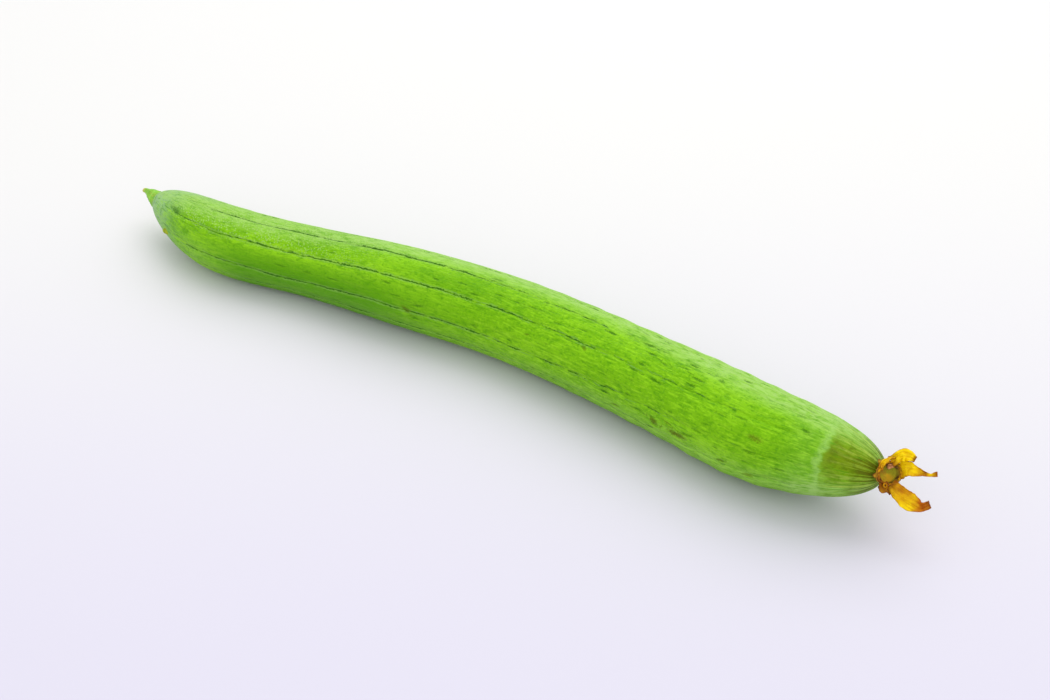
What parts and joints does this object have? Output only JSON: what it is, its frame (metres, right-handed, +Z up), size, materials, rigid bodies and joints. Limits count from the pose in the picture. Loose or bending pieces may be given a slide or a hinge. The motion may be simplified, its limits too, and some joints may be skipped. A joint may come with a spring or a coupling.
{
  "type": "smooth ridge gourd",
  "caption": "Long, slightly curved green gourd with faint lengthwise ridges, a short stem stub at one end and a withered yellow flower at the other.",
  "frame": {"origin": "middle of the flat spot under the fruit's mid-length, on the surface that it lies on", "axes": "+X runs along the gourd from the stem end to the blossom end, +Z is up from the surface, and -Y is the near side of the picture"},
  "size_m": [0.4881, 0.0631, 0.0479],
  "materials": {
    "skin": "fresh green rind with a soft waxy sheen",
    "stalk": "pale green fibrous stalk, tan at the cut",
    "cup": "drying olive and brown flower cup",
    "petal": "withered yellow petal with orange-brown edges",
    "style": "dried tan stigma"
  },
  "bodies": {
    "root": {"fruit": "skin", "stem": "stalk", "calyx": "cup", "corolla": "petal", "style": "style"}
  },
  "joints": []
}
